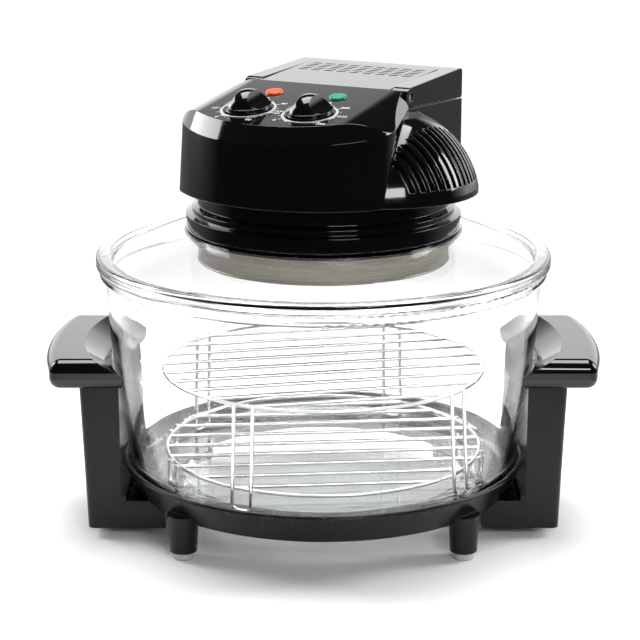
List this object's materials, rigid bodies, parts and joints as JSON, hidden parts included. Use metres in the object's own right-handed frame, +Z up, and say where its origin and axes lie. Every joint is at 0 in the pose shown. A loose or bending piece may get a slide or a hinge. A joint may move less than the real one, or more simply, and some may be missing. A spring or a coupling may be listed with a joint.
{
  "type": "halogen oven",
  "caption": "Countertop halogen oven: glass bowl in a base ring with side handles, wire racks, and a lift-off glass lid carrying the heater and control head with a fold-up handle.",
  "frame": {"origin": "on the floor, under the middle of the bowl", "axes": "+X along the two side handles, to the right of a user who faces the front; -Y towards the user; +Z up. The head sits on the lid turned clockwise, seen from above, as in the picture"},
  "size_m": [0.417, 0.34, 0.3374],
  "materials": {
    "base_black": "satin moulded",
    "gloss_black": "polished moulded",
    "screw_steel": "zinc plated",
    "foot_grey": "matt",
    "clear_glass": "polished",
    "rack_wire": "chromed wire",
    "silicone": "matt silicone",
    "sheet_steel": "brushed",
    "quartz": "clear quartz",
    "ceramic": "glazed ceramic",
    "fibre_board": "pressed mineral board",
    "brass": "turned",
    "unit_case": "moulded",
    "scale_silver": "silver print",
    "lens_red": "clear tinted",
    "lens_green": "clear tinted",
    "laminations": "varnished stack",
    "copper": "wound and taped",
    "fan_metal": "pressed",
    "black_inner": "moulded"
  },
  "bodies": {
    "base": {"base_ring": "base_black", "handle_column_left": "base_black", "handle_column_right": "base_black", "handle_grip_left": "gloss_black", "handle_grip_right": "gloss_black", "arm_screws": "screw_steel", "grip_screws": "screw_steel", "rubber_foot_front_left": "foot_grey", "rubber_foot_front_right": "foot_grey", "rubber_foot_rear_left": "foot_grey", "rubber_foot_rear_right": "foot_grey"},
    "bowl": {"glass_bowl": "clear_glass"},
    "low_rack": {"low_rack": "rack_wire"},
    "high_rack": {"high_rack": "rack_wire"},
    "lid": {"glass_lid": "clear_glass", "upper_gasket": "silicone", "lower_gasket": "silicone", "reflector_pan": "sheet_steel", "heater_shroud": "sheet_steel", "element_guard": "sheet_steel", "heat_shield": "fibre_board", "halogen_tube": "quartz", "tube_end_caps": "ceramic", "tube_clips": "sheet_steel", "thermostat_bulb": "brass", "clamp_screws": "screw_steel", "head_collar": "gloss_black", "head_cover": "gloss_black", "cover_screws": "screw_steel", "handle_pins": "screw_steel", "timer_unit": "unit_case", "thermostat_unit": "unit_case", "timer_scale": "scale_silver", "thermostat_scale": "scale_silver", "red_lamp": "lens_red", "green_lamp": "lens_green", "motor_bracket_lower": "sheet_steel", "motor_bracket_upper": "sheet_steel", "motor_core": "laminations", "motor_coil": "copper", "motor_bolts": "screw_steel", "bracket_screws": "screw_steel", "bearings": "brass", "handle_switch": "unit_case", "cord_gland": "black_inner", "terminal_block": "unit_case", "thermal_cutout": "sheet_steel"},
    "carry_handle": {"carry_handle": "gloss_black"},
    "timer": {"timer_knob": "gloss_black", "timer_spindle": "brass"},
    "thermostat": {"thermostat_knob": "gloss_black", "thermostat_spindle": "brass"},
    "rotor": {"motor_shaft": "screw_steel", "rotor_core": "laminations", "cooling_fan": "fan_metal", "convection_fan": "fan_metal", "fan_nut": "brass"},
    "plunger": {"switch_plunger": "black_inner"}
  },
  "joints": [
    {"name": "bowl_lift", "type": "slide", "parent": "base", "child": "bowl", "axis": [0, 0, 1], "range_m": [0, 0.2]},
    {"name": "low_rack_lift", "type": "slide", "parent": "bowl", "child": "low_rack", "axis": [0, 0, 1], "range_m": [0, 0.05]},
    {"name": "high_rack_lift", "type": "slide", "parent": "bowl", "child": "high_rack", "axis": [0, 0, 1], "range_m": [0, 0.075]},
    {"name": "lid_lift", "type": "slide", "parent": "bowl", "child": "lid", "axis": [0, 0, 1], "range_m": [0, 0.25]},
    {"name": "carry_handle_fold", "type": "hinge", "parent": "lid", "child": "carry_handle", "pos_m": [0.00364, 0.00667, 0.3262], "axis": [0.8776, -0.4795, 0], "range_deg": [0, 90]},
    {"name": "timer_turn", "type": "hinge", "parent": "lid", "child": "timer", "pos_m": [-0.05372, -0.04597, 0.32106], "axis": [0.0783, 0.1433, -0.9866], "range_deg": [0, 300]},
    {"name": "thermostat_turn", "type": "hinge", "parent": "lid", "child": "thermostat", "pos_m": [-0.00966, -0.07004, 0.32106], "axis": [0.0783, 0.1433, -0.9866], "range_deg": [0, 270]},
    {"name": "fan_spin", "type": "hinge", "parent": "lid", "child": "rotor", "pos_m": [0, 0, 0.287], "axis": [0, 0, 1], "continuous": true},
    {"name": "switch_plunger_slide", "type": "slide", "parent": "lid", "child": "plunger", "axis": [0, 0, 1], "range_m": [0, 0.004]}
  ],
  "couplings": [
    {"joint": "switch_plunger_slide", "follows": "carry_handle_fold", "m_per_rad": 0.0025}
  ]
}
